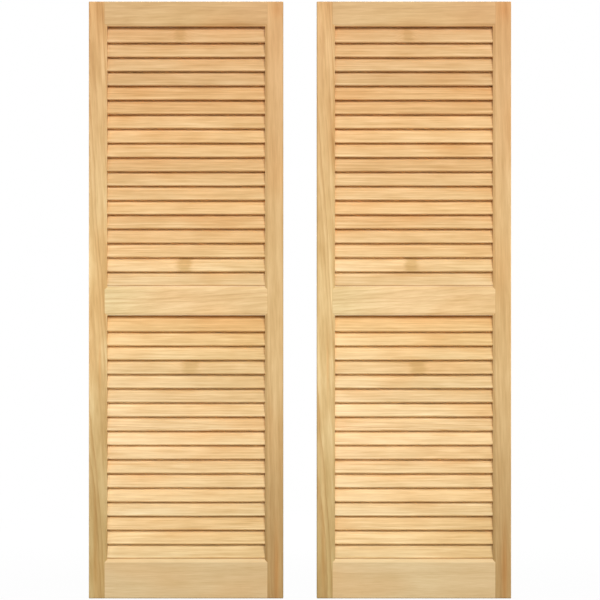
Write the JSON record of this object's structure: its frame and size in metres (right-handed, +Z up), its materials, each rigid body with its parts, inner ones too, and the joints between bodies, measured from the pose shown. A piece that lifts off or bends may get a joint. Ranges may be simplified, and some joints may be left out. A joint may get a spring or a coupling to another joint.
{
  "type": "louvred shutters",
  "caption": "Matching tall pine window shutters with fixed sloping louvre slats held between stiles and rails, made to be fixed or hung beside a window.",
  "frame": {"origin": "middle of the pair's bottom edge, halfway through the thickness", "axes": "+Z up along the stiles, +Y through the thickness towards the back, -Y the front, +X to the right as seen from the front"},
  "size_m": [0.845, 0.0286, 1.194],
  "materials": {
    "stile_pine": "planed, bare",
    "rail_pine": "planed, bare",
    "slat_pine": "planed, bare"
  },
  "bodies": {
    "root": {"left_outer_stile": "stile_pine", "left_inner_stile": "stile_pine", "left_top_rail": "rail_pine", "left_mid_rail": "rail_pine", "left_bottom_rail": "rail_pine", "left_upper_slats": "slat_pine", "left_lower_slats": "slat_pine", "right_outer_stile": "stile_pine", "right_inner_stile": "stile_pine", "right_top_rail": "rail_pine", "right_mid_rail": "rail_pine", "right_bottom_rail": "rail_pine", "right_upper_slats": "slat_pine", "right_lower_slats": "slat_pine"}
  },
  "joints": []
}
